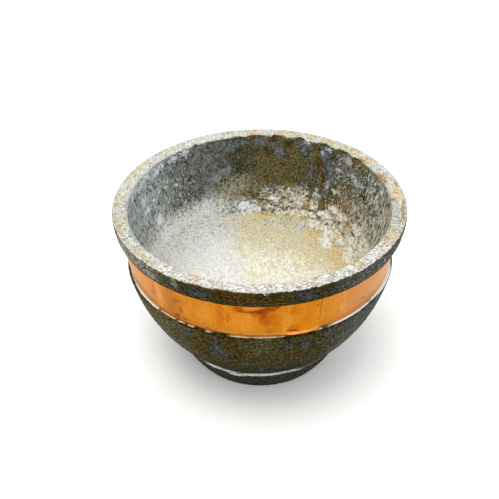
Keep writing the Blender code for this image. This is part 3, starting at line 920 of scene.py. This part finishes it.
def bandTree():
    # bends a flat strip round the groove, its ends a little apart at the seam
    tree, ids, given = startTree("bentBand", {
        "Geometry": ["strip"], "Int": ["facets", "rows"], "Material": ["copper"],
        "Float": ["lowRadius", "highRadius", "low", "high", "thickness", "seamAngle", "seamTop", "seamBottom",
                  "edgeRound", "waveDepth", "waveLength", "seed"],
    })
    strip = addNode(tree, "GeometryNodeMeshCube", {
        "Size": (1.0, 1.0, 1.0), "Vertices X": given["facets"], "Vertices Y": 2, "Vertices Z": given["rows"],
    })
    place = addNode(tree, "GeometryNodeInputPosition")
    shifted = addNode(tree, "ShaderNodeVectorMath", {0: place, 1: (0.5, 0.5, 0.5)}, operation="ADD")
    parts = addNode(tree, "ShaderNodeSeparateXYZ", {0: shifted}).outputs

    # rows bunch up towards both edges, so their rounding has enough of them
    phase = addNode(tree, "ShaderNodeMath", {0: parts["Z"], 1: pi}, operation="MULTIPLY")
    wave = addNode(tree, "ShaderNodeMath", {0: phase}, operation="COSINE")
    up = addNode(tree, "ShaderNodeMath", {0: wave, 1: -0.5, 2: 0.5}, operation="MULTIPLY_ADD")
    level, radius, gap = [
        addNode(tree, "ShaderNodeMapRange", {"Value": up, "To Min": given[below], "To Max": given[above]})
        for below, above in (("low", "high"), ("lowRadius", "highRadius"), ("seamBottom", "seamTop"))
    ]
    gapAngle = addNode(tree, "ShaderNodeMath", {0: gap, 1: radius}, operation="DIVIDE")
    full = addNode(tree, "ShaderNodeMath", {0: 2.0 * pi, 1: gapAngle}, operation="SUBTRACT")
    halfGap = addNode(tree, "ShaderNodeMath", {0: gapAngle, 1: 0.5}, operation="MULTIPLY")
    onwards = addNode(tree, "ShaderNodeMath", {0: parts["X"], 1: full, 2: halfGap}, operation="MULTIPLY_ADD")
    angle = addNode(tree, "ShaderNodeMath", {0: onwards, 1: given["seamAngle"]}, operation="ADD")

    # the outer edges are rounded over, and the inner face lies a thickness further in
    fromLow = addNode(tree, "ShaderNodeMath", {0: level, 1: given["low"]}, operation="SUBTRACT")
    fromHigh = addNode(tree, "ShaderNodeMath", {0: given["high"], 1: level}, operation="SUBTRACT")
    nearest = addNode(tree, "ShaderNodeMath", {0: fromLow, 1: fromHigh}, operation="MINIMUM")
    reach = addNode(tree, "ShaderNodeMath", {
        0: given["edgeRound"], 1: bandShape["edgeRun"],
    }, operation="MULTIPLY")
    inset = addNode(tree, "ShaderNodeMapRange", {
        "Value": nearest, "From Min": 0.0, "From Max": reach, "To Min": given["edgeRound"], "To Max": 0.0,
    }, interpolation_type="SMOOTHSTEP")
    outerInset = addNode(tree, "ShaderNodeMath", {0: inset, 1: parts["Y"]}, operation="MULTIPLY")
    inner = addNode(tree, "ShaderNodeMath", {0: 1.0, 1: parts["Y"]}, operation="SUBTRACT")
    depth = addNode(tree, "ShaderNodeMath", {
        0: inner, 1: given["thickness"], 2: outerInset,
    }, operation="MULTIPLY_ADD")
    radius = addNode(tree, "ShaderNodeMath", {0: radius, 1: depth}, operation="SUBTRACT")

    # swellings and small waves of a thin sheet pressed on by hand
    run = addNode(tree, "ShaderNodeMath", {0: onwards, 1: bandHigh.x}, operation="MULTIPLY")
    spread = addNode(tree, "ShaderNodeCombineXYZ", {"X": run, "Y": fromLow})
    for onFrom, height, halfWidth, halfHeight, rise in bandShape["swellings"]:
        laid = addNode(tree, "ShaderNodeVectorMath", {
            0: spread, 1: (radians(onFrom) * bandHigh.x, height * mm, 0.0),
        }, operation="SUBTRACT")
        sized = addNode(tree, "ShaderNodeVectorMath", {
            0: laid, 1: (halfWidth * mm, halfHeight * mm, 1.0),
        }, operation="DIVIDE")
        away = addNode(tree, "ShaderNodeVectorMath", {0: sized}, operation="LENGTH").outputs["Value"]
        lift = addNode(tree, "ShaderNodeMapRange", {
            "Value": away, "From Min": 1.0, "From Max": 0.0, "To Max": rise * mm,
        }, interpolation_type="SMOOTHSTEP")
        radius = addNode(tree, "ShaderNodeMath", {0: radius, 1: lift}, operation="ADD")
    scale = addNode(tree, "ShaderNodeMath", {0: 1.0, 1: given["waveLength"]}, operation="DIVIDE")
    noise = addNode(tree, "ShaderNodeTexNoise", {
        "Vector": spread, "W": given["seed"], "Scale": scale, "Detail": 2.0,
    }, noise_dimensions="4D")
    centred = addNode(tree, "ShaderNodeMath", {0: noise, 1: 0.5}, operation="SUBTRACT")
    radius = addNode(tree, "ShaderNodeMath", {
        0: centred, 1: given["waveDepth"], 2: radius,
    }, operation="MULTIPLY_ADD")

    standing = addNode(tree, "ShaderNodeCombineXYZ", {"X": radius, "Z": level})
    bent = addNode(tree, "ShaderNodeVectorRotate", {
        "Vector": standing, "Axis": (0.0, 0.0, 1.0), "Angle": angle,
    })
    shaped = addNode(tree, "GeometryNodeSetPosition", {"Geometry": strip, "Position": bent})
    smooth = addNode(tree, "GeometryNodeSetShadeSmooth", {"Geometry": shaped, "Shade Smooth": True})
    fold = addNode(tree, "GeometryNodeInputMeshEdgeAngle")
    sharp = addNode(tree, "ShaderNodeMath", {
        0: fold, 1: radians(bandShape["crease"]),
    }, operation="GREATER_THAN")
    edged = addNode(tree, "GeometryNodeSetShadeSmooth", {
        "Geometry": smooth, "Selection": sharp, "Shade Smooth": False,
    }, domain="EDGE")
    endTree(tree, edged, given["copper"])
    return tree, ids


# copper: a metal, so the default index; brushed by use to a soft shine

copperLook = {
    "spread": (1.6, 0.6),
    "edgeTint": "#FFF4E2",
    "ground": "#BB6E09",
    "layers": [
        {"colour": "#BF7A1B", "noise": (5, 4, 1.6), "start": 1, "edge": 0.3, "stretch": 0.4, "seed": 1},
        # paler and pinker to both sides as painted reflection, deeper in some stretches
        # painted reflection: paler towards both ends, where the copper is seen edge on
        {"colour": "#BE751F", "noise": (6, 4, 1.4), "seed": 2, "towards": (188, 40, 12)},
        {"colour": "#B97E47", "noise": (6, 4, 1), "seed": 3, "towards": (-8, 44, 16)},
        {"colour": "#C67F26", "noise": (2, 4, 3), "start": 0.6, "edge": 0.6, "stretch": 0.5, "seed": 5,
         "patches": [(-96, 8, 4.5, 8), (-79.5, 7.5, 3, 6), (-112, 10, 4, 7)]},
        # painted reflections: paler vertical streaks either side of the front, and a painted highlight on the
        # lower edge
        {"colour": "#CA873C", "noise": (2, 4, 3), "start": 0.7, "edge": 0.6, "strength": 0.9,
         "stretch": 0.4, "seed": 13,
         "patches": [(-55.5, 10, 2.2, 11), (-134.6, 10, 2.4, 12), (-115.5, 1.4, 3, 0.9)]},
        {"colour": "#B26008", "noise": (1.6, 5, 3.6), "start": 0.65, "edge": 0.5, "stretch": 0.6, "seed": 6,
         "patches": [
            (-102.6, 11, 0.9, 5), (-86, 11, 4, 6), (-86.5, 3.6, 2.4, 1.8), (-109, 1.6, 4, 0.8),
            (-98, 1.6, 2, 0.8), (-76.5, 4.6, 3, 2), (-77, 15, 2, 3), (-105.5, 12, 2, 8)]},
        {"colour": "#A8610C", "noise": (1.6, 5, 3), "start": 0.55, "edge": 0.5, "seed": 12,
         "patches": [(-127, 10, 4.6, 12), (-139, 9, 0.8, 1.6), (-137, 12, 1, 5)]},
        # brown stain and small marks, and painted highlights on the edges among them
        {"colour": "#944C04", "noise": (1.2, 5, 4), "strength": 0.9, "seed": 14, "patches": [
            (-123.6, 13.3, 1.5, 0.9), (-125.6, 12.9, 0.8, 0.8), (-125.4, 11, 0.9, 0.6), (-122.8, 8, 1, 2.2),
            (-127.2, 1.9, 0.8, 0.5), (-111.5, 1.9, 1.6, 0.4), (-108, 2.2, 1, 0.4), (-97.6, 1.9, 0.8, 0.4)]},
        {"colour": "#A65304", "noise": (1.6, 5, 3.4), "edge": 0.5, "seed": 11, "patches": [
            (-90, 15.4, 4, 2.6), (-86.6, 18, 3.6, 1.8), (-98, 17.4, 2.6, 1.8), (-88, 11, 2.4, 3.4)]},
        {"colour": "#904200", "noise": (1.3, 5, 3.4), "edge": 0.35, "seed": 4, "patches": [
            (-98.6, 18.2, 1.2, 0.9), (-97.4, 16.8, 1.4, 1), (-93.4, 16, 3.4, 0.9), (-89.8, 16.4, 3.2, 1.7),
            (-86.4, 17.8, 3, 1.3), (-84, 19, 1.8, 1), (-88.8, 13.6, 1.2, 2.4), (-125.2, 2.9, 1.2, 1.3),
            (-77.8, 3.4, 1.9, 0.45), (-44, 6.2, 1.4, 0.5)]},
        {"colour": "#6C3002", "noise": (0.8, 4, 4), "edge": 0.25, "seed": 17, "border": "steady",
         "patches": [
            (-122, 2.9, 0.6, 0.5), (-120.8, 3.2, 0.9, 0.4), (-124.6, 3.6, 0.6, 0.8),
            (-126.4, 2.4, 0.9, 0.4), (-119.8, 1.8, 0.5, 0.3), (-128, 1.9, 0.6, 0.3),
            (-111.5, 1.6, 1.2, 0.3), (-97.8, 1.7, 0.6, 0.3), (-77, 3.2, 1.6, 0.35), (-75.2, 2.2, 1.5, 0.35),
            (-67.8, 16.1, 0.35, 0.5), (-49.6, 6.2, 0.35, 0.6), (-43.6, 6.1, 1, 0.35),
            (-138.8, 9.4, 0.6, 0.9), (-123, 13.6, 0.8, 0.35), (-125.8, 12.6, 0.6, 0.4)]},
        {"colour": "#7A3600", "noise": (1, 4, 3), "edge": 0.3, "seed": 7, "patches": [
            (-90.3, 16.5, 2.3, 1.2), (-87.4, 18, 1.4, 0.5), (-122, 3.2, 0.5, 0.5), (-76.2, 2.7, 1.6, 0.3)]},
        # a thin pale line along the top edge, and a painted highlight on the lower edge
        {"colour": "#D9A468", "noise": (1.6, 3, 1.2), "seed": 9, "border": "steady",
         "patches": [(-101, 20.5, 13, 0.4), (-115, 0.5, 3, 0.5)]},
        {"shade": 0.82, "noise": (0.9, 4, 3.4), "start": 1.08, "stretch": 0.7, "seed": 10},
        # painted highlights on the lower edge
        {"colour": "#D38C42", "noise": (1.6, 4, 1.6), "edge": 0.35, "seed": 8,
         "patches": [(-77, 1.2, 4, 0.9), (-71, 0.5, 3, 0.7)]},
        {"colour": "#C98030", "noise": (1.3, 4, 3), "start": 0.6, "edge": 0.5, "strength": 0.5, "seed": 16,
         "patches": [(-93, 18.4, 3.6, 1)]},
        # lower edge: painted light, brighter to make up for the darker ledge that it reflects
        {"colour": "#F0A050", "noise": (3, 3, 1.2), "edge": 0.5, "strength": 0.9, "seed": 15,
         "between": (57, 60.2, 1.6)},
    ],
    "roughness": 0.36,
    "bump": {"size": 5.0, "depth": 0.03 * mm},
}


def copper():
    look = copperLook
    material, tree, shader = newMaterial("burnished copper")
    place = addNode(tree, "ShaderNodeTexCoord").outputs["Object"]
    flat = addNode(tree, "ShaderNodeVectorMath", {0: place, 1: (1.0, 1.0, 0.0)}, operation="MULTIPLY")
    sideways = addNode(tree, "ShaderNodeVectorMath", {0: flat}, operation="NORMALIZE")
    height = addNode(tree, "ShaderNodeSeparateXYZ", {"Vector": place}).outputs["Z"]
    along = addNode(tree, "ShaderNodeMath", {0: height, 1: 1.0 / mm}, operation="MULTIPLY")
    fields = {"place": place, "along": along, "sideways": sideways, "steady": place,
              "spread": wander(tree, place, *look["spread"])}
    colour = layeredColour(tree, fields, hexColour(look["ground"]), look["layers"], bandPlace)
    waves = addNode(tree, "ShaderNodeTexNoise", {
        "Vector": place, "Scale": 1.0 / (look["bump"]["size"] * mm), "Detail": 2.0,
    })
    bump = addNode(tree, "ShaderNodeBump", {"Height": waves, "Distance": look["bump"]["depth"]})
    feed(tree, shader, {
        "Base Color": colour, "Normal": bump, "Metallic": 1.0, "Roughness": look["roughness"],
        "Specular Tint": hexColour(look["edgeTint"]),
    })
    return material


def makeBand(metal):
    band = addObject("copperBand", bpy.data.meshes.new("copperBand"))
    applyTree(band, *bandTree(), {
        **bandShape, "seamAngle": radians(bandShape["seamAngle"]), "copper": metal,
        "lowRadius": bowlShape["bandBottomRadius"], "highRadius": bandHigh.x,
        "low": bandLow.z - bandShape["seat"], "high": bandHigh.z, "thickness": bowlShape["bandThickness"],
    })
    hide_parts("copper_band")
    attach(band, "root")
    return band


band = makeBand(copper())
print("band ready", len(band.data.polygons))
